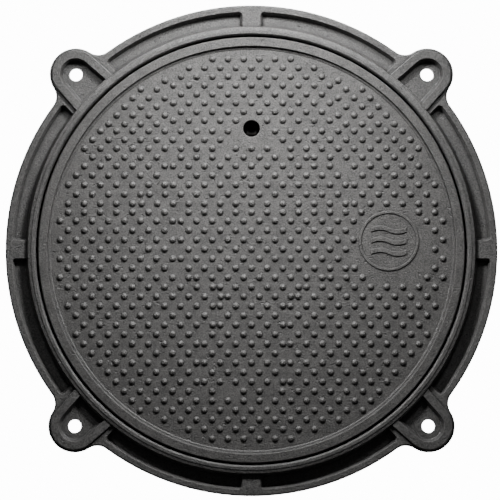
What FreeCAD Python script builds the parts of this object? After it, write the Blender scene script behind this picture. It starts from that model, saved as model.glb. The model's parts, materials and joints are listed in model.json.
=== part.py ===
"""Round manhole cover in its frame, with a key-operated latch under the cover.

Millimetres. The origin is the middle of the frame's underside, +Z is up, and the
key hole of the cover lies on the +Y side.
"""
import FreeCAD, Part
import math
import os

os.makedirs("parts", exist_ok=True)

V = FreeCAD.Vector
ORIGIN = V(0, 0, 0)
UP = V(0, 0, 1)
EAST = V(1, 0, 0)

# ---- frame casting ----
CLEAR_OPENING_R = 300.0
FRAME_HEIGHT = 80.0
SEAT_WIDTH = 28.0
COVER_GAP = 3.2
LIP_INNER_CHAMFER = 2.6
LIP_TOP_WIDTH = 4.6
LIP_STEP = 0.7
LIP_LEDGE_WIDTH = 4.5
LIP_LEDGE_FALL = 0.8
LIP_FOOT_WIDTH = 2.0
LIP_RISE = 7.0
FLANGE_WIDTH = 47.0
FLANGE_THICKNESS = 18.0
FLANGE_EDGE_ROUND = 3.0
SEAT_THICKNESS = 12.0
SEAT_GUSSET = 5.0
SKIRT_WALL = 13.0
TOE_WIDTH = 12.0
TOE_HEIGHT = 8.0
SKIRT_RIB_COUNT = 12
SKIRT_RIB_WIDTH = 12.0
SKIRT_RIB_SETBACK = 8.0
SKIRT_RIB_TIP = 4.0

RECESS_EDGE_WIDTH = 10.0
RECESS_FLOOR = 9.0
RECESS_CORNER_R = 6.0
RECESS_DRAFT = 4.0
WEB_WIDTH = 27.0

EAR_COUNT = 4
EAR_FIRST_ANGLE = 45.0
EAR_HOLE_OUTSET = 5.0
EAR_HOLE_R = 10.0
EAR_R = 40.0
EAR_LEAN = math.radians(4.0)
EAR_WALL = 16.0
EAR_WALL_DROP = 3.0
EAR_WALL_ROUND = 1.5
EAR_FLOOR = 12.0
EAR_POCKET_DRAFT = 4.0
EAR_POCKET_ROUND = 1.5
EAR_BLEND_R = 23.0
EAR_TO_RECESS = 3.0

# ---- cover casting ----
COVER_EDGE_DEPTH = 32.0
COVER_EDGE_ROUND = 1.2
RIM_WIDTH = 13.3
RIM_RISE = 4.5
RIM_BEVEL_WIDTH = 5.5
PLATE_THICKNESS = 12.5
SEAT_RING_WIDTH = 24.0
RIB_WIDTH = 9.0
RIB_COUNT = 12
RIB_RING_COUNT = 4
RIB_OPENING_GAP = 4.0
RIB_DROP = 2.0

STUD_R = 5.2
STUD_HEIGHT = 3.2
STUD_EDGE_GAP = 2.45
STUD_PITCH = 23.9
SIDE_STUD_PITCH = 24.5
SIDE_BLOCK_START = 132.3
ROW_PITCH = 14.4
# Steps of the rows above the middle one: how many, and how far apart.
UPPER_ROW_STEPS = ((3, ROW_PITCH), (2, 13.3), (4, ROW_PITCH), (4, 13.4))
CENTRE_PATCH_STEP = 16.0
CENTRE_PATCH_PITCH = 13.5
CENTRE_PATCH_HALF_WIDTH = 121.0
SIDE_PATCH_STEP = 10.8
SIDE_PATCH_PITCH = 13.3
# Rows, counted upwards from the middle one, where a block repeats the row before
# instead of stepping half a pitch.
CENTRE_REPEATS = (-15, 5, 11)
SIDE_REPEATS = (5,)
# Each entry: first row that it holds for, then the distances of the west and east seams.
SEAMS = (
    (-20, 120.0, 120.0),
    (-15, 80.0, 25.0),
    (-14, 78.0, 54.0),
    (-8, 54.0, 54.0),
    (-5, 42.0, 66.0),
    (-4, 54.0, 78.0),
    (-3, 90.0, 113.0),
    (-2, 114.0, 150.0),
    (1, 114.0, 175.0),
    (4, 114.0, 190.0),
    (5, 176.0, 150.0),
    (6, 164.0, 150.0),
    (7, 126.0, 150.0),
    (9, 126.0, 140.0),
    (10, 126.0, 89.0),
    (11, 120.0, 120.0),
)
# A place with no stud: its row, and its pitches from the middle line.
BLANK_PLACE = (-15, -1.5)
# The rows just below the key hole are cut short, the nearest one least.
KEY_HOLE_GAP_ROW = 14
KEY_HOLE_GAP_ROWS = 3

KEY_HOLE_R = 13.0
KEY_HOLE_Y = 185.0
KEY_CHAMBER_STEP = 1.5

EMBLEM_X = 209.0
EMBLEM_Y = 13.0
EMBLEM_R = 45.5
EMBLEM_LINE = 3.4
EMBLEM_RISE = 1.4
EMBLEM_CLEAR_R = 60.0
EMBLEM_CLEAR_SHIFT = (6.0, -9.0)
WAVE_COUNT = 3
WAVE_SPACING = 17.0
WAVE_LENGTH = 54.0
WAVE_WIDTH = 6.5
WAVE_RISE = 6.0

# ---- seat gasket ----
GASKET_THICKNESS = 4.0
GASKET_WIDTH = 19.0
GASKET_SIDE_GAP = 3.0

# ---- lock ----
BOSS_MARGIN = 4.0
BOSS_DEPTH = 12.0
HOUSING_FLANGE_MARGIN = 10.0
HOUSING_FLANGE_THICKNESS = 8.0
HOUSING_TUBE_WALL = 6.5
HOUSING_TUBE_LENGTH = 12.5
HOUSING_SCREW_CIRCLE_R = 38.0
HOUSING_SCREW_COUNT = 4
SCREW_R = 4.0
SCREW_HOLE_GAP = 0.5
SCREW_FIT = 0.05
SCREW_GRIP = 10.0
SCREW_HEAD_R = 7.5
SCREW_HEAD_HEIGHT = 5.3
SCREW_WASHER_R = 8.0
SCREW_WASHER_THICKNESS = 1.6
STOP_WIDTH = 8.0
STOP_LENGTH = 10.0
STOP_DISTANCE = 30.0
STOP_GAP = 0.4
SPINDLE_R = 11.0
SPINDLE_FIT = 0.05
COLLAR_LAP = 1.5
COLLAR_HEIGHT = 3.6
COLLAR_PLAY = 0.3
COLLAR_FACE_GAP = 0.1
COLLAR_SIDE_GAP = 0.5
THRUST_WASHER_THICKNESS = 2.0
KEY_HEAD_WIDTH = 15.0
KEY_HEAD_HEIGHT = 9.0
KEY_HEAD_BORE_R = 5.1
KEY_HEAD_BORE_DEPTH = 14.0
SEAL_WIRE_R = 1.4
SEAL_GROOVE_DEPTH = 2.8
SEAL_GROOVE_WIDTH = 3.6
ARM_THICKNESS = 8.0
ARM_GAP = 1.0
ARM_HALF_WIDTH = 15.0
ARM_TIP_HALF_WIDTH = 11.0
ARM_HUB_R = 21.0
ARM_TIP_ENGAGEMENT = 16.0
SQUARE_WIDTH = 16.0
SQUARE_FIT = 0.1
THREAD_R = 7.0
THREAD_GAP = 0.3
SPRING_HEIGHT = 3.2
SPRING_THICKNESS = 1.6
SPRING_R = 15.0
NUT_WASHER_R = 15.0
NUT_WASHER_THICKNESS = 2.2
NUT_WIDTH = 22.0
NUT_HEIGHT = 11.0
NUT_SLOT_DEPTH = 4.0
NUT_SLOT_WIDTH = 3.6
SPINDLE_END_LENGTH = 1.6
PIN_R = 1.4
PIN_TAIL = 2.0
PIN_EYE_R = 2.1
PIN_EYE_WIRE_R = 1.1
PIN_EYE_GAP = 0.5

# ---- levels and radii worked out from the sizes above ----
BORE_R = CLEAR_OPENING_R + SEAT_WIDTH
COVER_R = BORE_R - COVER_GAP
FLANGE_R = BORE_R + FLANGE_WIDTH
RECESS_OUTER_R = FLANGE_R - RECESS_EDGE_WIDTH
EAR_HOLE_CIRCLE_R = FLANGE_R + EAR_HOLE_OUTSET
FLANGE_TOP = FRAME_HEIGHT - LIP_RISE
FLANGE_BOTTOM = FLANGE_TOP - FLANGE_THICKNESS
COVER_BOTTOM = FRAME_HEIGHT - COVER_EDGE_DEPTH
SEAT_TOP = COVER_BOTTOM - GASKET_THICKNESS
SEAT_BOTTOM = SEAT_TOP - SEAT_THICKNESS
SKIRT_R = BORE_R + SKIRT_WALL
LIP_TOP_R = BORE_R + LIP_INNER_CHAMFER + LIP_TOP_WIDTH
LIP_LEDGE_R = LIP_TOP_R + LIP_STEP + LIP_LEDGE_WIDTH
LIP_FOOT_R = LIP_LEDGE_R + LIP_FOOT_WIDTH
EAR_WALL_TOP = FRAME_HEIGHT - EAR_WALL_DROP
EAR_POCKET_R = EAR_R - EAR_WALL
EAR_SIDE = EAR_R + (EAR_HOLE_CIRCLE_R - LIP_FOOT_R) * math.tan(EAR_LEAN)
FIELD_TOP = FRAME_HEIGHT - RIM_RISE
PLATE_BOTTOM = FIELD_TOP - PLATE_THICKNESS
RIM_INNER_R = COVER_R - RIM_WIDTH
FIELD_R = RIM_INNER_R - RIM_BEVEL_WIDTH
RIB_BOTTOM = COVER_BOTTOM - RIB_DROP
RIB_RING_R = CLEAR_OPENING_R - RIB_OPENING_GAP - RIB_WIDTH / 2
HOUSING_FLANGE_R = HOUSING_SCREW_CIRCLE_R + HOUSING_FLANGE_MARGIN
BOSS_R = HOUSING_FLANGE_R + BOSS_MARGIN
KEY_CHAMBER_R = KEY_HOLE_R + KEY_CHAMBER_STEP
COLLAR_R = KEY_CHAMBER_R + COLLAR_LAP
HOUSING_TUBE_R = SPINDLE_R + HOUSING_TUBE_WALL
BOSS_BOTTOM = PLATE_BOTTOM - BOSS_DEPTH
HOUSING_BOTTOM = BOSS_BOTTOM - HOUSING_FLANGE_THICKNESS
TUBE_BOTTOM = HOUSING_BOTTOM - HOUSING_TUBE_LENGTH
COLLAR_BOTTOM = BOSS_BOTTOM - COLLAR_PLAY - COLLAR_HEIGHT
HOUSING_SHOULDER = COLLAR_BOTTOM - COLLAR_FACE_GAP - THRUST_WASHER_THICKNESS
COLLAR_TOP = COLLAR_BOTTOM + COLLAR_HEIGHT
ARM_TOP = TUBE_BOTTOM - ARM_GAP
ARM_BOTTOM = ARM_TOP - ARM_THICKNESS
SPRING_BOTTOM = ARM_BOTTOM - SPRING_HEIGHT
NUT_TOP = SPRING_BOTTOM - NUT_WASHER_THICKNESS
NUT_BOTTOM = NUT_TOP - NUT_HEIGHT
SPINDLE_END = NUT_BOTTOM - SPINDLE_END_LENGTH
ARM_LENGTH = CLEAR_OPENING_R + ARM_TIP_ENGAGEMENT - KEY_HOLE_Y
LOCK_AXIS = V(0, KEY_HOLE_Y, 0)


# ---- general shapes ----
def disc(radius, low, high, centre=ORIGIN):
    """Upright cylinder between two levels."""
    return Part.makeCylinder(radius, high - low, V(centre.x, centre.y, low))


def ring(inner, outer, low, high, centre=ORIGIN):
    """Upright tube between two levels."""
    return disc(outer, low, high, centre).cut(disc(inner, low - 1, high + 1, centre))


def block(x_low, x_high, y_low, y_high, low, high):
    """Upright box between two levels."""
    return Part.makeBox(x_high - x_low, y_high - y_low, high - low, V(x_low, y_low, low))


def turned(shape, angle, centre=ORIGIN):
    """Copy of a shape turned about an upright axis."""
    copy = shape.copy()
    copy.rotate(centre, UP, angle)
    return copy


def revolved(profile, centre=ORIGIN):
    """Solid of revolution from a list of radius and level pairs."""
    points = [V(radius, 0, level) for radius, level in profile]
    face = Part.Face(Part.makePolygon(points + [points[0]]))
    solid = face.revolve(ORIGIN, UP, 360)
    solid.translate(V(centre.x, centre.y, 0))
    return solid


def prism(points, low, high):
    """Upright prism over an outline of points in plan."""
    outline = [V(x, y, low) for x, y in points]
    return Part.Face(Part.makePolygon(outline + [outline[0]])).extrude(V(0, 0, high - low))


def hexagon(across_flats, low, high, centre=ORIGIN, angle=0.0):
    """Upright hexagonal prism."""
    corner = across_flats / math.sqrt(3)
    points = []
    for step in range(6):
        turn = math.radians(angle + 60 * step)
        points.append((centre.x + corner * math.cos(turn), centre.y + corner * math.sin(turn)))
    return prism(points, low, high)


def upright_edges(shape, keep):
    """Straight vertical edges whose middle passes the given test."""
    found = []
    for edge in shape.Edges:
        start = edge.Vertexes[0].Point
        end = edge.Vertexes[-1].Point
        flat_distance = math.hypot(start.x - end.x, start.y - end.y)
        if flat_distance < 1e-6 and abs(start.z - end.z) > 1e-3 and keep(start):
            found.append(edge)
    return found


def save(name, shape):
    """Write one node and say how many solids it has."""
    clean = shape.removeSplitter()
    if not clean.isValid():
        raise ValueError(name + " is not a valid shape")
    clean.exportStep("parts/" + name + ".step")
    print(name, len(clean.Solids), "solid(s)", round(clean.Volume / 1000, 1), "cm3")


# ---- frame ----
def ear_section(radius, level):
    """U-shaped outline along +X: round at the anchor hole and wider towards the ring."""
    root_x = CLEAR_OPENING_R + SEAT_WIDTH / 2
    touch_x = EAR_HOLE_CIRCLE_R + radius * math.sin(EAR_LEAN)
    touch_y = radius * math.cos(EAR_LEAN)
    root_y = touch_y + (touch_x - root_x) * math.tan(EAR_LEAN)
    arc = Part.Arc(V(touch_x, -touch_y, level), V(EAR_HOLE_CIRCLE_R + radius, 0, level),
                   V(touch_x, touch_y, level))
    sides = Part.makePolygon([V(touch_x, touch_y, level), V(root_x, root_y, level),
                              V(root_x, -root_y, level), V(touch_x, -touch_y, level)])
    return Part.Wire([arc.toShape()] + sides.Edges)


def ear_solid(low_radius, low, high_radius, high):
    """Solid between two ear outlines."""
    return Part.makeLoft([ear_section(low_radius, low), ear_section(high_radius, high)], True, True)


def ear_angles():
    """Directions of the ears."""
    return [EAR_FIRST_ANGLE + 360.0 / EAR_COUNT * step for step in range(EAR_COUNT)]


def meets_ear(point):
    """True where the side of an ear meets the flange's edge."""
    if abs(math.hypot(point.x, point.y) - FLANGE_R) > 0.1:
        return False
    bearing = math.degrees(math.atan2(point.y, point.x))
    offsets = [abs((bearing - angle + 180) % 360 - 180) for angle in ear_angles()]
    return min(offsets) < math.degrees(math.asin(EAR_SIDE / FLANGE_R))


def flange_plate():
    """Flange disc joined to the four ears, with concave blends between them."""
    plate = disc(FLANGE_R, FLANGE_BOTTOM, FLANGE_TOP)
    ear = ear_solid(EAR_R, FLANGE_BOTTOM, EAR_R, FLANGE_TOP)
    plate = plate.fuse([turned(ear, angle) for angle in ear_angles()]).removeSplitter()
    plate = plate.makeFillet(EAR_BLEND_R, upright_edges(plate, meets_ear))
    outline = [edge for edge in plate.Edges if abs(edge.BoundBox.ZMin - edge.BoundBox.ZMax) < 1e-6]
    return plate.makeFillet(FLANGE_EDGE_ROUND, outline)


def frame_ring():
    """Lip, bore, seat and skirt of the frame, turned in one piece."""
    lip_edge_top = FRAME_HEIGHT - LIP_INNER_CHAMFER
    step_foot = FRAME_HEIGHT - LIP_STEP
    return revolved([
        (CLEAR_OPENING_R, SEAT_BOTTOM + 3), (CLEAR_OPENING_R, SEAT_TOP), (BORE_R, SEAT_TOP),
        (BORE_R, lip_edge_top), (BORE_R + LIP_INNER_CHAMFER, FRAME_HEIGHT),
        (LIP_TOP_R, FRAME_HEIGHT), (LIP_TOP_R + LIP_STEP, step_foot),
        (LIP_LEDGE_R, step_foot - LIP_LEDGE_FALL), (LIP_FOOT_R, FLANGE_TOP), (SKIRT_R + 2, FLANGE_BOTTOM), (SKIRT_R, TOE_HEIGHT + 2),
        (SKIRT_R + TOE_WIDTH, TOE_HEIGHT), (SKIRT_R + TOE_WIDTH, 0), (BORE_R, 0),
        (BORE_R, SEAT_BOTTOM - SEAT_GUSSET), (BORE_R - SEAT_GUSSET, SEAT_BOTTOM), (CLEAR_OPENING_R + 3, SEAT_BOTTOM)])


def recess_cutter():
    """One shallow recess with sloping sides, between a web on +X and the ear to its north-east."""
    depth = FLANGE_THICKNESS - RECESS_FLOOR
    inner_r = LIP_FOOT_R - LIP_FOOT_WIDTH / 2
    ear_side = EAR_SIDE + EAR_TO_RECESS
    wedge = prism([(0, WEB_WIDTH / 2), (FLANGE_R * 1.5, WEB_WIDTH / 2), (FLANGE_R * 1.5, FLANGE_R * 1.5)],
                  FLANGE_TOP, FLANGE_TOP + 1)
    ear_keep = block(-FLANGE_R, FLANGE_R * 2, -ear_side, ear_side, FLANGE_TOP - 1, FLANGE_TOP + 2)
    mouth = ring(inner_r, RECESS_OUTER_R, FLANGE_TOP, FLANGE_TOP + 1).common(wedge)
    mouth = mouth.cut(turned(ear_keep, EAR_FIRST_ANGLE))
    mouth = max(mouth.Solids, key=lambda solid: solid.Volume)
    outer_corners = upright_edges(mouth, lambda p: abs(math.hypot(p.x, p.y) - RECESS_OUTER_R) < 0.1)
    mouth = mouth.makeFillet(RECESS_CORNER_R, outer_corners)
    top_outline = min(mouth.Faces, key=lambda face: face.CenterOfMass.z).OuterWire
    floor_outline = top_outline.makeOffset2D(-RECESS_DRAFT)
    floor_outline.translate(V(0, 0, -depth))
    return Part.makeLoft([floor_outline, top_outline], True, True).fuse(mouth)


def skirt_ribs():
    """Radial ribs that carry the flange from the skirt."""
    ribs = []
    tip = FLANGE_R - SKIRT_RIB_SETBACK
    root = SKIRT_R - SKIRT_WALL / 4
    side = -SKIRT_RIB_WIDTH / 2
    outline = [V(root, side, FLANGE_BOTTOM + 1), V(tip, side, FLANGE_BOTTOM + 1),
               V(tip, side, FLANGE_BOTTOM - SKIRT_RIB_TIP), V(SKIRT_R + 2, side, TOE_HEIGHT - 1),
               V(root, side, TOE_HEIGHT - 1)]
    rib = Part.Face(Part.makePolygon(outline + [outline[0]])).extrude(V(0, SKIRT_RIB_WIDTH, 0))
    for step in range(SKIRT_RIB_COUNT):
        ribs.append(turned(rib, 360.0 / SKIRT_RIB_COUNT * step))
    return ribs


def make_frame():
    """The whole frame casting."""
    bore = disc(BORE_R + 1, FLANGE_BOTTOM - 1, EAR_WALL_TOP + 1)
    wall_r = EAR_R - FLANGE_EDGE_ROUND
    ear_wall = ear_solid(wall_r, FLANGE_TOP - 3, wall_r - 1, EAR_WALL_TOP).cut(bore)
    crest = [edge for edge in ear_wall.Edges if abs(edge.BoundBox.ZMin - EAR_WALL_TOP) < 1e-6
             and edge.CenterOfMass.x > LIP_FOOT_R]
    ear_wall = ear_wall.makeFillet(EAR_WALL_ROUND, crest)
    walls = [turned(ear_wall, angle) for angle in ear_angles()]
    frame = flange_plate().cut(bore).fuse([frame_ring()] + walls + skirt_ribs())
    floor_level = FLANGE_BOTTOM + EAR_FLOOR
    pocket = ear_solid(EAR_POCKET_R - EAR_POCKET_DRAFT, floor_level, EAR_POCKET_R, EAR_WALL_TOP + 0.01)
    pocket = pocket.cut(disc(LIP_FOOT_R, floor_level - 1, EAR_WALL_TOP + 2))
    pocket_floor = [edge for edge in pocket.Edges if abs(edge.BoundBox.ZMax - floor_level) < 1e-6]
    pocket = pocket.makeFillet(EAR_POCKET_ROUND, pocket_floor)
    hole = disc(EAR_HOLE_R, FLANGE_BOTTOM - 1, EAR_WALL_TOP, V(EAR_HOLE_CIRCLE_R, 0, 0))
    cutters = []
    for angle in ear_angles():
        cutters.append(turned(pocket, angle))
        cutters.append(turned(hole, angle))
    recess = recess_cutter()
    mirror_recess = recess.mirror(ORIGIN, V(0, 1, 0))
    for step in range(4):
        cutters.append(turned(recess, 90 * step))
        cutters.append(turned(mirror_recess, 90 * step))
    return frame.cut(cutters)


# ---- cover ----
def cover_body():
    """Plate, rim and seat ring of the cover, turned in one piece."""
    seat_ring_r = COVER_R - SEAT_RING_WIDTH
    return revolved([
        (0, PLATE_BOTTOM), (0, FIELD_TOP), (FIELD_R, FIELD_TOP),
        (FIELD_R + RIM_BEVEL_WIDTH * 0.2, FIELD_TOP + RIM_RISE * 0.18),
        (FIELD_R + RIM_BEVEL_WIDTH * 0.7, FIELD_TOP + RIM_RISE * 0.24),
        (RIM_INNER_R, FRAME_HEIGHT), (COVER_R - COVER_EDGE_ROUND, FRAME_HEIGHT),
        (COVER_R, FRAME_HEIGHT - COVER_EDGE_ROUND), (COVER_R, COVER_BOTTOM + 1),
        (COVER_R - 1, COVER_BOTTOM), (seat_ring_r, COVER_BOTTOM), (seat_ring_r - 2, PLATE_BOTTOM)])


def cover_ribs():
    """Radial and ring ribs under the plate, kept clear of the lock."""
    top = PLATE_BOTTOM + 1
    radii = [RIB_RING_R * (step + 1) / RIB_RING_COUNT for step in range(RIB_RING_COUNT)]
    ribs = [ring(radius - RIB_WIDTH / 2, radius + RIB_WIDTH / 2, RIB_BOTTOM, top) for radius in radii]
    spoke = block(radii[0], radii[-1], -RIB_WIDTH / 2, RIB_WIDTH / 2, RIB_BOTTOM, top)
    for step in range(RIB_COUNT):
        ribs.append(turned(spoke, 360.0 / RIB_COUNT * step))
    grid = ribs[0].fuse(ribs[1:])
    return grid.cut(disc(BOSS_R - 1, RIB_BOTTOM - 1, top + 1, LOCK_AXIS))


def full_rows():
    """Row number and distance from the middle line of each full-width stud row."""
    rows = [(-step, -step * ROW_PITCH) for step in range(int(FIELD_R / ROW_PITCH), -1, -1)]
    for count, pitch in UPPER_ROW_STEPS:
        for _ in range(count):
            row, level = rows[-1]
            rows.append((row + 1, level + pitch))
    return rows


def seams_of(row):
    """West and east seams of a row, where its side blocks lose step with the centre block."""
    west, east = SEAMS[0][1:]
    for first_row, west_seam, east_seam in SEAMS:
        if row >= first_row:
            west = west_seam
            east = east_seam
    return west, east


def beat(row, repeats):
    """0 or 1 in turn from row to row, except where a block repeats the row before."""
    return (row + sum(1 for start in repeats if row >= start)) % 2


def centre_shift(row):
    """0 where the centre block has a stud on the middle line, or half a pitch."""
    return 0.0 if beat(row, CENTRE_REPEATS) else 0.5


def side_shift(row):
    """0 or half a pitch for the side blocks."""
    return 0.5 if beat(row, SIDE_REPEATS) else 0.0


def centre_block(level, shift, west, east):
    """Studs of a row's centre block, between its two seams."""
    found = []
    reach = int(FIELD_R / STUD_PITCH) + 1
    for step in range(-reach, reach + 1):
        x = (step + shift) * STUD_PITCH
        if -west < x < east:
            found.append((x, level))
    return found


def side_blocks(level, shift, west, east):
    """Studs of a row's two side blocks, from the seams to the rim."""
    found = []
    reach = int(FIELD_R / SIDE_STUD_PITCH) + 1
    for step in range(-reach, reach + 1):
        x = SIDE_BLOCK_START + (step + shift) * SIDE_STUD_PITCH
        if x >= east:
            found.append((x, level))
        if x >= west:
            found.append((-x, level))
    return found


def is_free(x, y):
    """True where a stud stays clear of the rim, the key hole and the emblem."""
    if math.hypot(x, y) > FIELD_R - STUD_R - STUD_EDGE_GAP:
        return False
    clear_x = EMBLEM_X + EMBLEM_CLEAR_SHIFT[0]
    clear_y = EMBLEM_Y + EMBLEM_CLEAR_SHIFT[1]
    if math.hypot(x - clear_x, y - clear_y) < EMBLEM_CLEAR_R:
        return False
    return math.hypot(x, y - KEY_HOLE_Y) > KEY_HOLE_R + 2 * STUD_R


def stud_places():
    """Centres of all the studs: staggered rows of blocks, as the pattern plates were pieced together."""
    places = []
    for row, level in full_rows():
        west, east = seams_of(row)
        blocks = centre_block(level, centre_shift(row), west, east)
        blocks += side_blocks(level, side_shift(row), west, east)
        rows_below = KEY_HOLE_GAP_ROW - row
        if 0 < rows_below <= KEY_HOLE_GAP_ROWS:
            half_gap = (rows_below + 0.6) * STUD_PITCH / 2
            blocks = [place for place in blocks if abs(place[0]) > half_gap]
        if rows_below == KEY_HOLE_GAP_ROWS:
            blocks += [(step * STUD_PITCH, level) for step in (-1, 0, 1)]
        if row == BLANK_PLACE[0]:
            blocks.remove((BLANK_PLACE[1] * STUD_PITCH, level))
        places += blocks
    patch_start = full_rows()[-1][1]
    reach = CENTRE_PATCH_HALF_WIDTH
    for step in range(int(FIELD_R / CENTRE_PATCH_PITCH)):
        level = patch_start + CENTRE_PATCH_STEP + step * CENTRE_PATCH_PITCH
        places += centre_block(level, 0.5 if step % 2 else 0.0, reach, reach)
    reach += STUD_R
    for step in range(int(FIELD_R / SIDE_PATCH_PITCH)):
        level = patch_start + SIDE_PATCH_STEP + step * SIDE_PATCH_PITCH
        places += side_blocks(level, 0.0 if step % 2 else 0.5, reach, reach)
    return [place for place in places if is_free(*place)]


def studs():
    """Low round studs, each the cap of a ball sunk into the plate."""
    ball_r = (STUD_R ** 2 + STUD_HEIGHT ** 2) / (2 * STUD_HEIGHT)
    ball = Part.makeSphere(ball_r)
    ball.rotate(ORIGIN, V(0, 1, 0), 90)
    found = []
    for x, y in stud_places():
        copy = ball.copy()
        copy.translate(V(x, y, FIELD_TOP + STUD_HEIGHT - ball_r))
        found.append(copy)
    return found


def wave_bar(offset):
    """One raised wave of the emblem: two arcs, one up and one down."""
    quarter = WAVE_LENGTH / 4
    level = FIELD_TOP - 1
    low_y = offset - WAVE_WIDTH / 2
    high_y = offset + WAVE_WIDTH / 2
    edges = []
    for y, order in ((low_y, 1), (high_y, -1)):
        points = [(-2, 0), (-1, 1), (0, 0), (1, -1), (2, 0)][::order]
        spots = [V(step * quarter, y + lift * WAVE_RISE / 2, level) for step, lift in points]
        edges.append(Part.Arc(spots[0], spots[1], spots[2]).toShape())
        edges.append(Part.Arc(spots[2], spots[3], spots[4]).toShape())
    left = Part.makeLine(V(-2 * quarter, high_y, level), V(-2 * quarter, low_y, level))
    right = Part.makeLine(V(2 * quarter, low_y, level), V(2 * quarter, high_y, level))
    outline = Part.Wire([edges[0], edges[1], right, edges[2], edges[3], left])
    return Part.Face(outline).extrude(V(0, 0, EMBLEM_RISE + 1))


def emblem():
    """Plain round emblem: a raised ring round three waves."""
    pieces = [ring(EMBLEM_R - EMBLEM_LINE, EMBLEM_R, FIELD_TOP - 1, FIELD_TOP + EMBLEM_RISE)]
    for step in range(WAVE_COUNT):
        pieces.append(wave_bar((step - (WAVE_COUNT - 1) / 2) * WAVE_SPACING))
    for piece in pieces:
        piece.translate(V(EMBLEM_X, EMBLEM_Y, 0))
    return pieces


def screw_places():
    """Centres of the screws that hold the lock housing."""
    places = []
    for step in range(HOUSING_SCREW_COUNT):
        turn = 2 * math.pi / HOUSING_SCREW_COUNT * step
        places.append(V(HOUSING_SCREW_CIRCLE_R * math.cos(turn),
                        KEY_HOLE_Y + HOUSING_SCREW_CIRCLE_R * math.sin(turn), 0))
    return places


def make_cover():
    """The whole cover casting."""
    boss = disc(BOSS_R, BOSS_BOTTOM, PLATE_BOTTOM + 1, LOCK_AXIS)
    cover = cover_body().fuse([boss, cover_ribs()])
    cover = cover.fuse(studs() + emblem())
    cutters = [disc(KEY_HOLE_R, PLATE_BOTTOM - 1, FIELD_TOP + 1, LOCK_AXIS),
               disc(KEY_CHAMBER_R, BOSS_BOTTOM - 1, PLATE_BOTTOM, LOCK_AXIS)]
    for place in screw_places():
        cutters.append(disc(SCREW_R + SCREW_FIT, BOSS_BOTTOM - 1, BOSS_BOTTOM + SCREW_GRIP + 1, place))
    return cover.cut(cutters)


# ---- gasket ----
def make_seat_gasket():
    """Flat rubber ring on the seat, under the cover's edge."""
    outer = BORE_R - GASKET_SIDE_GAP
    return ring(outer - GASKET_WIDTH, outer, SEAT_TOP, COVER_BOTTOM)


# ---- lock ----
def stop_block(x_side, y_side):
    """One stop that hangs from the housing beside the arm."""
    near = ARM_HALF_WIDTH + STOP_GAP
    if x_side:
        span = (near, near + STOP_WIDTH, STOP_DISTANCE, STOP_DISTANCE + STOP_LENGTH)
    else:
        span = (-STOP_DISTANCE - STOP_LENGTH, -STOP_DISTANCE, y_side * (near + STOP_WIDTH), y_side * near)
    piece = block(*span, ARM_BOTTOM + 1, HOUSING_BOTTOM + 1)
    piece.translate(LOCK_AXIS)
    return piece


def make_lock_housing():
    """Flanged bush for the spindle, with the two stops of the arm."""
    flange = disc(HOUSING_FLANGE_R, HOUSING_BOTTOM, BOSS_BOTTOM, LOCK_AXIS)
    tube = disc(HOUSING_TUBE_R, TUBE_BOTTOM, HOUSING_BOTTOM + 1, LOCK_AXIS)
    housing = flange.fuse([tube, stop_block(True, 0), stop_block(False, -1)])
    cutters = [disc(SPINDLE_R + SPINDLE_FIT, TUBE_BOTTOM - 1, BOSS_BOTTOM + 1, LOCK_AXIS),
               disc(COLLAR_R + COLLAR_SIDE_GAP, HOUSING_SHOULDER, BOSS_BOTTOM + 1, LOCK_AXIS)]
    for place in screw_places():
        cutters.append(disc(SCREW_R + SCREW_HOLE_GAP, HOUSING_BOTTOM - 1, BOSS_BOTTOM + 1, place))
    return housing.cut(cutters)


def make_housing_screws():
    """Hex screws up into the cover's boss."""
    washer_low = HOUSING_BOTTOM - SCREW_WASHER_THICKNESS
    across_flats = 2 * SCREW_HEAD_R * math.cos(math.pi / 6)
    screws = []
    for place in screw_places():
        head = hexagon(across_flats, washer_low - SCREW_HEAD_HEIGHT, washer_low, place)
        shank = disc(SCREW_R, washer_low - 1, BOSS_BOTTOM + SCREW_GRIP, place)
        screws.append(head.fuse(shank).removeSplitter())
    return Part.makeCompound(screws)


def make_housing_washers():
    """Flat washers under the screw heads."""
    low = HOUSING_BOTTOM - SCREW_WASHER_THICKNESS
    inner = SCREW_R + SCREW_HOLE_GAP
    return Part.makeCompound([ring(inner, SCREW_WASHER_R, low, HOUSING_BOTTOM, place)
                              for place in screw_places()])


def make_thrust_washer():
    """Bronze washer between the housing's shoulder and the spindle's collar."""
    inner = SPINDLE_R + COLLAR_SIDE_GAP
    top = HOUSING_SHOULDER + THRUST_WASHER_THICKNESS
    return ring(inner, COLLAR_R, HOUSING_SHOULDER, top, LOCK_AXIS)


def square_bar(width, low, high):
    """Square upright bar on the lock's axis."""
    half = width / 2
    bar = block(-half, half, -half, half, low, high)
    bar.translate(LOCK_AXIS)
    return bar


def seal_level():
    """Level of the seal's middle."""
    return TUBE_BOTTOM + HOUSING_TUBE_LENGTH / 2


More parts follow.
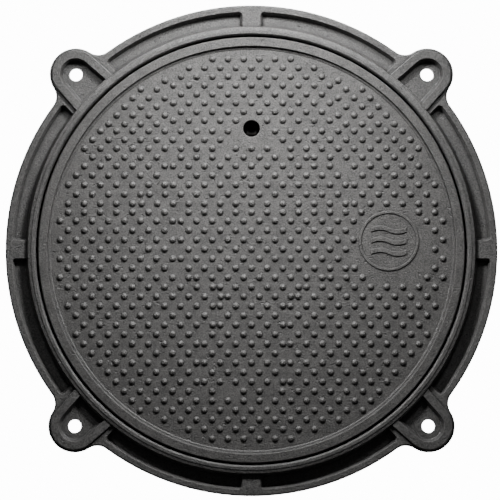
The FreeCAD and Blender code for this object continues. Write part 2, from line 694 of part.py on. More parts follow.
def make_lock_spindle():
    """Spindle with key head, collar, seal groove, square and threaded end."""
    head = square_bar(KEY_HEAD_WIDTH, COLLAR_TOP - 1, COLLAR_TOP + KEY_HEAD_HEIGHT)
    head = head.makeChamfer(1.5, upright_edges(head, lambda p: True))
    collar = disc(COLLAR_R, COLLAR_BOTTOM, COLLAR_TOP, LOCK_AXIS)
    shaft = disc(SPINDLE_R, ARM_TOP, COLLAR_BOTTOM + 1, LOCK_AXIS)
    square = square_bar(SQUARE_WIDTH, ARM_BOTTOM + 0.3, ARM_TOP + 1)
    square = square.common(disc(SPINDLE_R, ARM_BOTTOM, ARM_TOP + 2, LOCK_AXIS))
    thread = disc(THREAD_R, SPINDLE_END, ARM_BOTTOM + 1, LOCK_AXIS)
    spindle = head.fuse([collar, shaft, square, thread])
    top = COLLAR_TOP + KEY_HEAD_HEIGHT
    bore = disc(KEY_HEAD_BORE_R, top - KEY_HEAD_BORE_DEPTH, top + 1, LOCK_AXIS)
    groove_low = seal_level() - SEAL_GROOVE_WIDTH / 2
    groove_high = groove_low + SEAL_GROOVE_WIDTH
    groove = ring(SPINDLE_R - SEAL_GROOVE_DEPTH, SPINDLE_R + 1, groove_low, groove_high, LOCK_AXIS)
    return spindle.cut([bore, groove, pin_bar(PIN_R + SQUARE_FIT, -NUT_WIDTH, NUT_WIDTH)])


def make_spindle_seal():
    """O-ring in the spindle's groove."""
    mean_r = SPINDLE_R - SEAL_WIRE_R + SPINDLE_FIT / 2
    return Part.makeTorus(mean_r, SEAL_WIRE_R, V(0, KEY_HOLE_Y, seal_level()), UP)


def make_latch_arm():
    """Steel arm with a square hole, resting towards -X and long enough to pass under the seat."""
    tip_x = ARM_LENGTH - ARM_TIP_HALF_WIDTH
    bar = prism([(0, ARM_HALF_WIDTH), (-STOP_DISTANCE - STOP_LENGTH, ARM_HALF_WIDTH),
                 (-tip_x, ARM_TIP_HALF_WIDTH), (-tip_x, -ARM_TIP_HALF_WIDTH),
                 (-STOP_DISTANCE - STOP_LENGTH, -ARM_HALF_WIDTH), (0, -ARM_HALF_WIDTH)], ARM_BOTTOM, ARM_TOP)
    arm = bar.fuse([disc(ARM_HUB_R, ARM_BOTTOM, ARM_TOP),
                    disc(ARM_TIP_HALF_WIDTH, ARM_BOTTOM, ARM_TOP, V(-tip_x, 0, 0))]).removeSplitter()
    arm.translate(LOCK_AXIS)
    return arm.cut(square_bar(SQUARE_WIDTH + 2 * SQUARE_FIT, ARM_BOTTOM - 1, ARM_TOP + 1))


def make_disc_spring():
    """Conical spring washer that presses the arm up against the spindle's shoulder."""
    inner = THREAD_R + THREAD_GAP
    return revolved([(inner, ARM_BOTTOM - SPRING_THICKNESS), (inner, ARM_BOTTOM), (inner + 1, ARM_BOTTOM),
                     (SPRING_R, SPRING_BOTTOM + SPRING_THICKNESS), (SPRING_R, SPRING_BOTTOM),
                     (SPRING_R - 1, SPRING_BOTTOM)], LOCK_AXIS)


def make_spindle_washer():
    """Flat washer between the spring and the nut."""
    return ring(THREAD_R + THREAD_GAP, NUT_WASHER_R, NUT_TOP, SPRING_BOTTOM, LOCK_AXIS)


def pin_level():
    """Level of the split pin, in the nut's slots."""
    return NUT_BOTTOM + NUT_SLOT_DEPTH / 2


def pin_bar(radius, start, end):
    """Round bar across the spindle at the pin's level."""
    return Part.makeCylinder(radius, end - start, V(start, KEY_HOLE_Y, pin_level()), EAST)


def make_castle_nut():
    """Hex nut with three slots across its lower face."""
    nut = hexagon(NUT_WIDTH, NUT_BOTTOM, NUT_TOP, LOCK_AXIS, 30.0)
    slot = block(-NUT_WIDTH, NUT_WIDTH, -NUT_SLOT_WIDTH / 2, NUT_SLOT_WIDTH / 2,
                 NUT_BOTTOM - 1, NUT_BOTTOM + NUT_SLOT_DEPTH)
    slot.translate(LOCK_AXIS)
    cutters = [turned(slot, 60 * step, LOCK_AXIS) for step in range(3)]
    cutters.append(disc(THREAD_R + SCREW_FIT, NUT_BOTTOM - 1, NUT_TOP + 1, LOCK_AXIS))
    return nut.cut(cutters)


def make_split_pin():
    """Split pin through the nut's slots and the spindle, with its round eye."""
    eye_x = NUT_WIDTH / 2 + PIN_EYE_GAP + PIN_EYE_WIRE_R + PIN_EYE_R
    wire = pin_bar(PIN_R, -NUT_WIDTH / 2 - PIN_TAIL, eye_x - PIN_EYE_R)
    eye = Part.makeTorus(PIN_EYE_R, PIN_EYE_WIRE_R, V(eye_x, KEY_HOLE_Y, pin_level()), V(0, 1, 0))
    return wire.fuse(eye)


NODES = {
    "frame": make_frame,
    "cover": make_cover,
    "seat_gasket": make_seat_gasket,
    "lock_housing": make_lock_housing,
    "housing_screws": make_housing_screws,
    "housing_washers": make_housing_washers,
    "thrust_washer": make_thrust_washer,
    "lock_spindle": make_lock_spindle,
    "spindle_seal": make_spindle_seal,
    "latch_arm": make_latch_arm,
    "disc_spring": make_disc_spring,
    "spindle_washer": make_spindle_washer,
    "castle_nut": make_castle_nut,
    "split_pin": make_split_pin,
}

for node_name, maker in NODES.items():
    save(node_name, maker())
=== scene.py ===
"""Finishes, light and camera for the round manhole cover in its four-eared frame."""

import json
import math

import bpy
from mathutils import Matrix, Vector


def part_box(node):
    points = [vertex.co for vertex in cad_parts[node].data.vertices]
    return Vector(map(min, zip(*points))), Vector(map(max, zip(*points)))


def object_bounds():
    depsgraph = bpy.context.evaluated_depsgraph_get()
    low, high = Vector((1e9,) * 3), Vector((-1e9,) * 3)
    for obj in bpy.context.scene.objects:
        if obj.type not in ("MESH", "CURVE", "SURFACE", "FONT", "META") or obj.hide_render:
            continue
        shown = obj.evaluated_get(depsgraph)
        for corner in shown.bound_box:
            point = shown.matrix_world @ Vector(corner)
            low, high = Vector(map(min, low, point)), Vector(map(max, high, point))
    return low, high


MM = 0.001

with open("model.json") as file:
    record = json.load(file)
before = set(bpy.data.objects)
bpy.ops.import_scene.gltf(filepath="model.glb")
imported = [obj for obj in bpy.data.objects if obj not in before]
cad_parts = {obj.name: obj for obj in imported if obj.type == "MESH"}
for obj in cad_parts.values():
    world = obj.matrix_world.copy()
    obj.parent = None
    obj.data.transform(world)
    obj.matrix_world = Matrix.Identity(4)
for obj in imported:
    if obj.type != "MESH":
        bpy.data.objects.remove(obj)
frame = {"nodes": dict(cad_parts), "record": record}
cad_low, cad_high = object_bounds()
nodes = frame["nodes"]


# ---- helpers for node trees ----
def link(tree, output, target):
    """Joins an output to an input, or sets the input's own value if given a plain one."""
    if isinstance(output, bpy.types.NodeSocket):
        tree.links.new(output, target)
    else:
        target.default_value = output


def add_node(tree, kind, label, place, settings=None, inputs=None):
    node = tree.nodes.new(kind)
    node.label = label
    node.location = place
    for name, value in (settings or {}).items():
        setattr(node, name, value)
    for name, value in (inputs or {}).items():
        link(tree, value, node.inputs[name])
    return node


def maths(tree, operation, first, second, place, label="", clamp=False):
    node = add_node(tree, "ShaderNodeMath", label, place, {"operation": operation, "use_clamp": clamp})
    link(tree, first, node.inputs[0])
    if second is not None:
        link(tree, second, node.inputs[1])
    return node.outputs["Value"]


def spread(tree, value, low, high, place, to_low=0.0, to_high=1.0, label="", smooth=False):
    """Stretches the span low..high of a value to to_low..to_high and holds the ends."""
    settings = {"interpolation_type": "SMOOTHSTEP" if smooth else "LINEAR", "clamp": True}
    node = add_node(tree, "ShaderNodeMapRange", label, place, settings)
    link(tree, value, node.inputs["Value"])
    link(tree, low, node.inputs["From Min"])
    link(tree, high, node.inputs["From Max"])
    link(tree, to_low, node.inputs["To Min"])
    link(tree, to_high, node.inputs["To Max"])
    return node.outputs["Result"]


def noise(tree, where, size, place, detail=2.0, roughness=0.5, label=""):
    """Noise whose lumps are about the given size in metres."""
    scale = maths(tree, "DIVIDE", 1.0, size, (place[0] - 180, place[1] - 60), "lumps per metre")
    inputs = {"Vector": where, "Scale": scale, "Detail": detail, "Roughness": roughness}
    return add_node(tree, "ShaderNodeTexNoise", label, place, None, inputs).outputs["Fac"]


def mix_colour(tree, amount, first, second, place, blend="MIX", label=""):
    node = add_node(tree, "ShaderNodeMix", label, place, {"data_type": "RGBA", "blend_type": blend})
    link(tree, amount, node.inputs[0])
    link(tree, first, node.inputs[6])
    link(tree, second, node.inputs[7])
    return node.outputs[2]


def new_group(name, inputs, outputs):
    """An empty shader group with named sockets; returns its tree, input node and output node."""
    tree = bpy.data.node_groups.new(name, "ShaderNodeTree")
    for socket_name, kind, value in inputs:
        socket = tree.interface.new_socket(socket_name, in_out="INPUT", socket_type=kind)
        if value is not None:
            socket.default_value = value
    for socket_name, kind in outputs:
        tree.interface.new_socket(socket_name, in_out="OUTPUT", socket_type=kind)
    source = tree.nodes.new("NodeGroupInput")
    source.location = (-900, 0)
    sink = tree.nodes.new("NodeGroupOutput")
    sink.location = (900, 0)
    return tree, source, sink


def place_group(tree, group, place, inputs):
    node = tree.nodes.new("ShaderNodeGroup")
    node.node_tree = group
    node.label = group.name
    node.location = place
    for name, value in inputs.items():
        link(tree, value, node.inputs[name])
    return node


FLOAT = "NodeSocketFloat"
COLOUR = "NodeSocketColor"
VECTOR = "NodeSocketVector"


# ---- shared surface effects ----
def make_cast_skin():
    """Skin left by the sand mould: grains, small pits and slow swells."""
    tree, source, sink = new_group(
        "cast skin",
        [("Grain Size", FLOAT, 1.6 * MM), ("Swell Size", FLOAT, 26 * MM), ("Pitting", FLOAT, 0.5)],
        [("Height", FLOAT), ("Grain", FLOAT), ("Mottle", FLOAT)],
    )
    where = add_node(tree, "ShaderNodeTexCoord", "on the casting", (-900, -300)).outputs["Object"]
    grain = noise(tree, where, source.outputs["Grain Size"], (-500, 250), 3.0, 0.62, "sand grains")
    swell = noise(tree, where, source.outputs["Swell Size"], (-500, 0), 2.0, 0.5, "slow swells")
    blotch_size = maths(tree, "MULTIPLY", source.outputs["Swell Size"], 0.32, (-700, -200))
    blotch = noise(tree, where, blotch_size, (-500, -250), 4.0, 0.6, "coat blotches")
    pit_size = maths(tree, "MULTIPLY", source.outputs["Grain Size"], 2.6, (-700, -450))
    pit_noise = noise(tree, where, pit_size, (-500, -500), 1.0, 0.5, "gas pits")
    edge = spread(tree, source.outputs["Pitting"], 0.0, 1.0, (-300, -650), 0.2, 0.42)
    edge_end = maths(tree, "SUBTRACT", edge, 0.08, (-120, -650))
    pits = spread(tree, pit_noise, edge, edge_end, (60, -500), label="pit depth", smooth=True)
    lumps = maths(tree, "MULTIPLY", swell, 0.5, (-120, 0))
    high = maths(tree, "ADD", grain, lumps, (60, 150))
    dug = maths(tree, "MULTIPLY", pits, 0.8, (240, -400))
    height = maths(tree, "SUBTRACT", high, dug, (420, 100))
    mottle_sum = maths(tree, "ADD", swell, blotch, (-120, -150))
    mottle = spread(tree, mottle_sum, 0.72, 1.28, (60, -150), label="mottle", smooth=True)
    link(tree, height, sink.inputs["Height"])
    link(tree, grain, sink.inputs["Grain"])
    link(tree, mottle, sink.inputs["Mottle"])
    return tree


def make_edge_wear():
    """Convex edges where the coat is rubbed thin, broken up by a fine noise."""
    tree, source, sink = new_group(
        "edge wear",
        [("Width", FLOAT, 1.2 * MM), ("Breakup", FLOAT, 0.5), ("Breakup Size", FLOAT, 5 * MM)],
        [("Edge", FLOAT), ("Soft Normal", VECTOR)],
    )
    where = add_node(tree, "ShaderNodeTexCoord", "on the piece", (-900, -300)).outputs["Object"]
    hollow = add_node(
        tree, "ShaderNodeAmbientOcclusion", "metal behind the face", (-500, 200),
        {"inside": True, "samples": 6}, {"Distance": source.outputs["Width"]},
    ).outputs["AO"]
    convex = spread(tree, hollow, 0.93, 0.55, (-300, 200), label="convex edge")
    patches = noise(tree, where, source.outputs["Breakup Size"], (-500, -100), 3.0, 0.6, "rub marks")
    start = maths(tree, "MULTIPLY", source.outputs["Breakup"], 0.62, (-300, -250))
    end = maths(tree, "ADD", start, 0.22, (-120, -250))
    rubbed = spread(tree, patches, start, end, (60, -100), label="rubbed places", smooth=True)
    edge = maths(tree, "MULTIPLY", convex, rubbed, (300, 100), "worn edge", True)
    soft = add_node(
        tree, "ShaderNodeBevel", "rounded arris", (300, -100), {"samples": 4},
        {"Radius": source.outputs["Width"]},
    ).outputs["Normal"]
    link(tree, edge, sink.inputs["Edge"])
    link(tree, soft, sink.inputs["Soft Normal"])
    return tree


def make_dust_and_corner_mask():
    """Dust that lies in patches on faces that look up, and a mask of the inner corners used for painted
    shade.
    """
    tree, source, sink = new_group(
        "settled dust and corner mask",
        [("Reach", FLOAT, 9 * MM), ("Patch Size", FLOAT, 12 * MM), ("Amount", FLOAT, 0.5)],
        [("Dust", FLOAT), ("Corner", FLOAT)],
    )
    where = add_node(tree, "ShaderNodeTexCoord", "on the piece", (-900, -300)).outputs["Object"]
    open_sky = add_node(
        tree, "ShaderNodeAmbientOcclusion", "open space", (-500, 250),
        {"samples": 6}, {"Distance": source.outputs["Reach"]},
    ).outputs["AO"]
    # This corner mask carries no dirt; the iron uses it for painted shade.
    corner = spread(tree, open_sky, 0.93, 0.64, (-300, 250), label="corner", smooth=True)
    facing = add_node(tree, "ShaderNodeSeparateXYZ", "which way it looks", (-500, 0), None,
                      {"Vector": add_node(tree, "ShaderNodeTexCoord", "", (-700, 0)).outputs["Normal"]})
    upward = spread(tree, facing.outputs["Z"], 0.3, 0.95, (-300, 0), label="looks up")
    patches = noise(tree, where, source.outputs["Patch Size"], (-500, -250), 4.0, 0.65, "dust patches")
    patchy = spread(tree, patches, 0.38, 0.72, (-300, -250), label="patchy", smooth=True)
    lying = maths(tree, "MULTIPLY", upward, patchy, (-100, -100))
    dust = maths(tree, "MULTIPLY", lying, source.outputs["Amount"], (420, 50), "dust", True)
    link(tree, dust, sink.inputs["Dust"])
    link(tree, corner, sink.inputs["Corner"])
    return tree


def make_tool_marks():
    """Fine turning or drawing lines that run round a piece's own axis."""
    tree, source, sink = new_group(
        "tool marks",
        [("Axis Place", VECTOR, None), ("Line Pitch", FLOAT, 0.35 * MM)],
        [("Lines", FLOAT), ("Smear", FLOAT)],
    )
    where = add_node(tree, "ShaderNodeTexCoord", "on the piece", (-900, -300)).outputs["Object"]
    offset = add_node(tree, "ShaderNodeVectorMath", "from the axis", (-700, 0), {"operation": "SUBTRACT"})
    link(tree, where, offset.inputs[0])
    link(tree, source.outputs["Axis Place"], offset.inputs[1])
    parts = add_node(tree, "ShaderNodeSeparateXYZ", "", (-520, 0), None, {"Vector": offset.outputs[0]})
    flat = add_node(tree, "ShaderNodeCombineXYZ", "", (-340, 100), None,
                    {"X": parts.outputs["X"], "Y": parts.outputs["Y"]})
    radius = add_node(tree, "ShaderNodeVectorMath", "distance out", (-160, 100), {"operation": "LENGTH"})
    link(tree, flat.outputs[0], radius.inputs[0])
    track = add_node(tree, "ShaderNodeCombineXYZ", "along the cut", (20, 0), None,
                     {"X": radius.outputs["Value"], "Y": parts.outputs["Z"]})
    lines = noise(tree, track.outputs[0], source.outputs["Line Pitch"], (220, 100), 2.0, 0.6, "turned lines")
    smear_size = maths(tree, "MULTIPLY", source.outputs["Line Pitch"], 22.0, (20, -250))
    smear = noise(tree, where, smear_size, (220, -200), 3.0, 0.55, "oil smears")
    link(tree, lines, sink.inputs["Lines"])
    link(tree, smear, sink.inputs["Smear"])
    return tree


CAST_SKIN = make_cast_skin()
EDGE_WEAR = make_edge_wear()
DUST_AND_CORNER_MASK = make_dust_and_corner_mask()
TOOL_MARKS = make_tool_marks()


# ---- finishes ----
def new_material(name):
    material = bpy.data.materials.new(name)
    material.use_nodes = True
    tree = material.node_tree
    shader = tree.nodes["Principled BSDF"]
    shader.location = (1300, 0)
    tree.nodes["Material Output"].location = (1600, 0)
    return material, tree, shader


def bump(tree, height, depth, strength, place, normal=None, label=""):
    node = add_node(tree, "ShaderNodeBump", label, place, None, {"Height": height})
    node.inputs["Distance"].default_value = depth
    node.inputs["Strength"].default_value = strength
    if normal is not None:
        link(tree, normal, node.inputs["Normal"])
    return node.outputs["Normal"]


GRAIN_SIZE = 2.3 * MM
GRAIN_DEPTH = 0.95 * MM
EDGE_WEAR_WIDTH = 1.3 * MM
EDGE_WEAR_AMOUNT = 0.35
# Reach and strength of the painted shade that darkens the iron's inner corners.
CORNER_SHADE_REACH = 5 * MM
CORNER_SHADE_AMOUNT = 0.97
COAT_ROUGHNESS = 0.46


def grey(value, warmth=1.0):
    return (value * warmth, value, value / warmth, 1.0)


BARE_IRON = grey(0.2, 1.03)
GRIT = grey(0.075, 1.06)
# Near-black colour of the painted shade in inner corners, creases and recesses.
CORNER_SHADE_COLOUR = grey(0.004)


def make_bitumen_iron(name, coat, thin_coat):
    """Sand-cast iron under a thin dark bitumen coat, rubbed off at edges, with painted shade darkening its
    inner corners.
    """
    material, tree, shader = new_material(name)
    skin = place_group(tree, CAST_SKIN, (-700, 200), {"Grain Size": GRAIN_SIZE})
    worn = place_group(tree, EDGE_WEAR, (-700, -150), {"Width": EDGE_WEAR_WIDTH, "Breakup": 0.45})
    dust_and_corners = place_group(tree, DUST_AND_CORNER_MASK, (-700, -500), {"Amount": 0.2, "Reach": CORNER_SHADE_REACH})
    tone = mix_colour(tree, skin.outputs["Mottle"], coat, thin_coat, (-400, 300), label="coat thickness")
    speck = spread(tree, skin.outputs["Grain"], 0.36, 0.66, (-400, 80), 0.3, 1.8, "grain speckle")
    speckled = mix_colour(tree, 1.0, tone, speck, (-200, 300), "MULTIPLY", "speckled coat")
    rubbed = maths(tree, "MULTIPLY", worn.outputs["Edge"], EDGE_WEAR_AMOUNT, (-400, -150), "rubbed")
    # Painted shade: the inner-corner mask blends the coat towards near black in corners, creases and
    # recesses.
    painted_corner_shade = maths(tree, "MULTIPLY", dust_and_corners.outputs["Corner"], CORNER_SHADE_AMOUNT, (0, 450), "painted corner shade")
    corner_shaded = mix_colour(tree, painted_corner_shade, speckled, CORNER_SHADE_COLOUR, (100, 350), label="painted shade in corners")
    edged = mix_colour(tree, rubbed, corner_shaded, BARE_IRON, (200, 250), label="rubbed edges")
    dirty = mix_colour(tree, dust_and_corners.outputs["Dust"], edged, GRIT, (400, 200), label="grit on the coat")
    link(tree, dirty, shader.inputs["Base Color"])
    rough_grain = spread(tree, skin.outputs["Grain"], 0.3, 0.7, (0, -50),
                         COAT_ROUGHNESS + 0.07, COAT_ROUGHNESS - 0.07)
    rough_dust = maths(tree, "MULTIPLY", dust_and_corners.outputs["Dust"], 0.25, (0, -250))
    rough_worn = maths(tree, "MULTIPLY", rubbed, -0.15, (0, -400))
    rough_change = maths(tree, "ADD", rough_dust, rough_worn, (200, -300))
    rough = maths(tree, "ADD", rough_grain, rough_change, (400, -150))
    link(tree, rough, shader.inputs["Roughness"])
    link(tree, maths(tree, "MULTIPLY", rubbed, 0.5, (400, 0), "bare metal"), shader.inputs["Metallic"])
    normal = bump(tree, skin.outputs["Height"], GRAIN_DEPTH, 1.0, (800, -300), worn.outputs["Soft Normal"],
                  "sand texture")
    link(tree, normal, shader.inputs["Normal"])
    shader.inputs["Specular IOR Level"].default_value = 0.5
    return material


def make_rubber(name):
    material, tree, shader = new_material(name)
    skin = place_group(tree, CAST_SKIN, (-700, 200),
                       {"Grain Size": 0.5 * MM, "Swell Size": 14 * MM, "Pitting": 0.1})
    dust_and_corners = place_group(tree, DUST_AND_CORNER_MASK, (-700, -300), {"Amount": 0.7})
    bloom = mix_colour(tree, skin.outputs["Mottle"], grey(0.013), grey(0.026, 1.03), (-300, 250),
                       label="bloom")
    dirty = mix_colour(tree, dust_and_corners.outputs["Dust"], bloom, grey(0.09, 1.08), (0, 200), label="grit")
    link(tree, dirty, shader.inputs["Base Color"])
    rough = spread(tree, skin.outputs["Mottle"], 0.0, 1.0, (0, -50), 0.62, 0.82)
    link(tree, rough, shader.inputs["Roughness"])
    link(tree, bump(tree, skin.outputs["Height"], 0.08 * MM, 0.8, (600, -250)), shader.inputs["Normal"])
    return material


def make_turned_metal(name, dark, light, roughness, line_pitch, line_depth, grease, greasiness, axis_place):
    """Turned or drawn metal with lines round its axis, smeared with grease."""
    material, tree, shader = new_material(name)
    inputs = {"Line Pitch": line_pitch, "Axis Place": axis_place}
    marks = place_group(tree, TOOL_MARKS, (-700, 200), inputs)
    worn = place_group(tree, EDGE_WEAR, (-700, -150),
                       {"Width": 0.5 * MM, "Breakup": 0.3, "Breakup Size": 3 * MM})
    dust_and_corners = place_group(tree, DUST_AND_CORNER_MASK, (-700, -500), {"Amount": 0.4})
    lines = mix_colour(tree, marks.outputs["Lines"], dark, light, (-350, 300), label="bright lines")
    bright = tuple(min(1.0, 1.25 * c) for c in light[:3]) + (1.0,)
    edged = mix_colour(tree, worn.outputs["Edge"], lines, bright, (-100, 250), label="bright edges")
    smeared = spread(tree, marks.outputs["Smear"], 0.42, 0.66, (-350, 0), 0.0, greasiness, "grease", True)
    lodged = maths(tree, "MAXIMUM", smeared, dust_and_corners.outputs["Dust"], (-100, -50), "grease and dirt")
    dirty = mix_colour(tree, lodged, edged, grease, (150, 200), label="dirty metal")
    link(tree, dirty, shader.inputs["Base Color"])
    line_rough = spread(tree, marks.outputs["Lines"], 0.3, 0.7, (150, -100),
                        roughness - 0.06, roughness + 0.08)
    rough = maths(tree, "ADD", line_rough, maths(tree, "MULTIPLY", lodged, 0.22, (350, -250)), (550, -100))
    link(tree, rough, shader.inputs["Roughness"])
    metal = spread(tree, lodged, 0.0, 1.0, (550, 100), 1.0, 0.25, "metal under the grease")
    link(tree, metal, shader.inputs["Metallic"])
    normal = bump(tree, marks.outputs["Lines"], line_depth, 0.7, (800, -300), worn.outputs["Soft Normal"],
                  "tool marks")
    link(tree, normal, shader.inputs["Normal"])
    return material


def make_blasted_casting(name):
    """Small bead-blasted housing casting."""
    material, tree, shader = new_material(name)
    skin = place_group(tree, CAST_SKIN, (-700, 200),
                       {"Grain Size": 0.7 * MM, "Swell Size": 11 * MM, "Pitting": 0.4})
    worn = place_group(tree, EDGE_WEAR, (-700, -150), {"Width": 0.8 * MM, "Breakup": 0.3})
    dust_and_corners = place_group(tree, DUST_AND_CORNER_MASK, (-700, -500), {"Amount": 0.6})
    tone = mix_colour(tree, skin.outputs["Mottle"], grey(0.24, 1.02), grey(0.34, 1.02), (-350, 300),
                      label="blasted grey")
    speck = spread(tree, skin.outputs["Grain"], 0.35, 0.65, (-350, 80), 0.8, 1.2, "blasting specks")
    specked = mix_colour(tree, 1.0, tone, speck, (-150, 300), "MULTIPLY")
    edged = mix_colour(tree, worn.outputs["Edge"], specked, grey(0.5), (50, 250), label="bright edges")
    dirty = mix_colour(tree, dust_and_corners.outputs["Dust"], edged, grey(0.06, 1.1), (250, 200), label="dirt")
    link(tree, dirty, shader.inputs["Base Color"])
    rough = spread(tree, skin.outputs["Mottle"], 0.0, 1.0, (250, -50), 0.48, 0.62)
    link(tree, rough, shader.inputs["Roughness"])
    metal = spread(tree, dust_and_corners.outputs["Dust"], 0.0, 1.0, (250, 60), 0.85, 0.1)
    link(tree, metal, shader.inputs["Metallic"])
    normal = bump(tree, skin.outputs["Height"], 0.1 * MM, 0.9, (800, -300), worn.outputs["Soft Normal"])
    link(tree, normal, shader.inputs["Normal"])
    return material


def make_zinc_coat(name):
    """Hot-dip zinc with its crystal spangle, gone dull."""
    material, tree, shader = new_material(name)
    where = add_node(tree, "ShaderNodeTexCoord", "on the piece", (-1100, 300)).outputs["Object"]
    cells = add_node(tree, "ShaderNodeTexVoronoi", "zinc crystals", (-850, 300), None,
                     {"Vector": where, "Scale": 170.0, "Randomness": 1.0})
    crystal = add_node(tree, "ShaderNodeSeparateColor", "each crystal's tone", (-650, 300), None,
                       {"Color": cells.outputs["Color"]}).outputs[0]
    skin = place_group(tree, CAST_SKIN, (-850, 0),
                       {"Grain Size": 0.9 * MM, "Swell Size": 18 * MM, "Pitting": 0.2})
    worn = place_group(tree, EDGE_WEAR, (-850, -250), {"Width": 0.8 * MM, "Breakup": 0.4})
    dust_and_corners = place_group(tree, DUST_AND_CORNER_MASK, (-850, -550), {"Amount": 0.5})
    dark_zinc = (0.34, 0.35, 0.36, 1)
    light_zinc = (0.5, 0.51, 0.52, 1)
    dull_zinc = (0.42, 0.43, 0.43, 1)
    tone = mix_colour(tree, crystal, dark_zinc, light_zinc, (-400, 300), label="spangle")
    dull = mix_colour(tree, skin.outputs["Mottle"], tone, dull_zinc, (-200, 250), label="dull patches")
    edged = mix_colour(tree, worn.outputs["Edge"], dull, grey(0.6), (0, 250), label="bright edges")
    dirty = mix_colour(tree, dust_and_corners.outputs["Dust"], edged, grey(0.09, 1.1), (250, 200), label="dirt")
    link(tree, dirty, shader.inputs["Base Color"])
    crystal_rough = spread(tree, crystal, 0.0, 1.0, (0, -50), 0.34, 0.5)
    dusty_rough = maths(tree, "MULTIPLY", dust_and_corners.outputs["Dust"], 0.3, (0, -200))
    rough = maths(tree, "ADD", crystal_rough, dusty_rough, (250, -50))
    link(tree, rough, shader.inputs["Roughness"])
    metal = spread(tree, dust_and_corners.outputs["Dust"], 0.0, 1.0, (250, 60), 0.9, 0.1)
    link(tree, metal, shader.inputs["Metallic"])
    normal = bump(tree, skin.outputs["Height"], 0.08 * MM, 0.7, (800, -300), worn.outputs["Soft Normal"])
    link(tree, normal, shader.inputs["Normal"])
    return material


spindle_low, spindle_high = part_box("lock_spindle")
LOCK_AXIS = ((spindle_low + spindle_high) / 2).to_tuple()
GREASE = grey(0.03, 1.15)
LINE_DEPTH = 0.03 * MM

FINISHES = {
    "cast_iron_frame": make_bitumen_iron("bitumen coated frame", grey(0.034, 1.02), grey(0.05, 1.02)),
    "cast_iron_cover": make_bitumen_iron("bitumen coated cover", grey(0.031, 1.03), grey(0.046, 1.03)),
    "gasket_rubber": make_rubber("seat ring rubber"),
    "lock_casting": make_blasted_casting("blasted housing"),
    "fastener_steel": make_turned_metal(
        "plain steel", grey(0.36), grey(0.52), 0.34, 0.4 * MM, LINE_DEPTH, GREASE, 0.45, LOCK_AXIS),
    # Blackened steel, coloured darker than black oxide so that the spindle also serves as painted shade deep
    # in the key hole.
    "blackened_steel": make_turned_metal(
        "blackened steel", grey(0.012), grey(0.022), 0.5, 0.5 * MM, LINE_DEPTH, GREASE, 0.6, LOCK_AXIS),
    "bronze": make_turned_metal(
        "bronze washer", (0.38, 0.22, 0.09, 1), (0.55, 0.34, 0.15, 1), 0.3, 0.4 * MM, LINE_DEPTH, GREASE, 0.5,
        LOCK_AXIS),
    "arm_steel": make_zinc_coat("zinc coated arm"),
}

SLOT_OF = {part["node"]: part["material_slot"] for part in frame["record"]["subparts"]}
for node_name, obj in nodes.items():
    for slot in obj.material_slots:
        slot.material = FINISHES[SLOT_OF[node_name]]


# ---- floor, light and camera ----
SHEET_SIZE = 12.0
SHEET_DROP = 0.5 * MM
SHEET_GLOW = 14.0
ROOM_LIGHT = 0.035
CAMERA_DISTANCE = 4.9
CAMERA_LEAN = math.radians(4.0)
LENS_MM = 232.0
AIM_AT = Vector((-2.3 * MM, -1.4 * MM, cad_high.z))


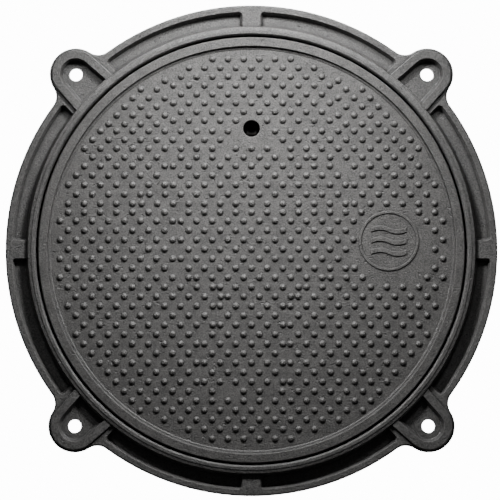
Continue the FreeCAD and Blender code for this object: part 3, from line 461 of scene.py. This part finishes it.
def make_floor():
    """Pale studio sheet that glows by itself, so no shadow shows on it; it is clear from below."""
    half = SHEET_SIZE / 2
    corners = [(-half, -half, 0), (half, -half, 0), (half, half, 0), (-half, half, 0)]
    mesh = bpy.data.meshes.new("studio_sheet")
    mesh.from_pydata(corners, [], [(0, 1, 2, 3)])
    floor = bpy.data.objects.new("studio_sheet", mesh)
    floor.location.z = cad_low.z - SHEET_DROP
    bpy.context.scene.collection.objects.link(floor)
    material = bpy.data.materials.new("backlit sheet")
    material.use_nodes = True
    tree = material.node_tree
    tree.nodes.clear()
    out = add_node(tree, "ShaderNodeOutputMaterial", "", (900, 0))
    paper = add_node(tree, "ShaderNodeBsdfDiffuse", "paper", (0, 100), None, {"Color": grey(0.7)})
    glow = add_node(tree, "ShaderNodeEmission", "light through the sheet", (0, -100), None,
                    {"Color": grey(1.0), "Strength": SHEET_GLOW})
    rays = add_node(tree, "ShaderNodeLightPath", "", (0, 500))
    seen = add_node(tree, "ShaderNodeMixShader", "glow as seen", (300, 0), None,
                    {0: rays.outputs["Is Camera Ray"], 1: paper.outputs[0], 2: glow.outputs[0]})
    clear = add_node(tree, "ShaderNodeBsdfTransparent", "", (300, -300))
    side = add_node(tree, "ShaderNodeNewGeometry", "", (300, 400))
    through = maths(tree, "MAXIMUM", side.outputs["Backfacing"], rays.outputs["Is Shadow Ray"], (450, 300))
    both = add_node(tree, "ShaderNodeMixShader", "clear from below", (600, 0), None,
                    {0: through, 1: seen.outputs[0], 2: clear.outputs[0]})
    tree.links.new(both.outputs[0], out.inputs["Surface"])
    mesh.materials.append(material)


def aim(obj, target):
    """Turns a lamp or camera to look at a point."""
    obj.rotation_mode = "QUATERNION"
    obj.rotation_quaternion = (Vector(target) - obj.location).to_track_quat("-Z", "Y")


def add_soft_box(name, place, target, width, height, power, grid_angle):
    """A soft box with a honeycomb grid, which narrows its light to the given angle."""
    data = bpy.data.lights.new(name, "AREA")
    data.spread = math.radians(grid_angle)
    data.shape = "RECTANGLE"
    data.size = width
    data.size_y = height
    data.energy = power
    lamp = bpy.data.objects.new(name, data)
    lamp.location = place
    aim(lamp, target)
    bpy.context.scene.collection.objects.link(lamp)


make_floor()

world = bpy.data.worlds.new("studio")
world.use_nodes = True
world.node_tree.nodes["Background"].inputs["Color"].default_value = grey(1.0)
world.node_tree.nodes["Background"].inputs["Strength"].default_value = ROOM_LIGHT
bpy.context.scene.world = world

for side, name in ((1, "north_east_box"), (-1, "north_west_box")):
    add_soft_box(name, place=(0.42 * side, 1.0, 0.78), target=(-0.27 * side, 0.03, 0.07),
                 width=0.34, height=0.26, power=4.75, grid_angle=52)

add_soft_box("low_fill_box", place=(0.25, -0.5, -1.2), target=(0.0, 0.05, 0.03),
             width=0.9, height=0.9, power=16, grid_angle=110)

camera_data = bpy.data.cameras.new("long_lens")
camera_data.lens = LENS_MM
camera_data.sensor_width = 36.0
camera_data.clip_start = 0.5
camera_data.clip_end = 20.0
camera = bpy.data.objects.new("long_lens", camera_data)
camera.location = AIM_AT + CAMERA_DISTANCE * Vector((0, -math.sin(CAMERA_LEAN), math.cos(CAMERA_LEAN)))
aim(camera, AIM_AT)
bpy.context.scene.collection.objects.link(camera)
bpy.context.scene.camera = camera
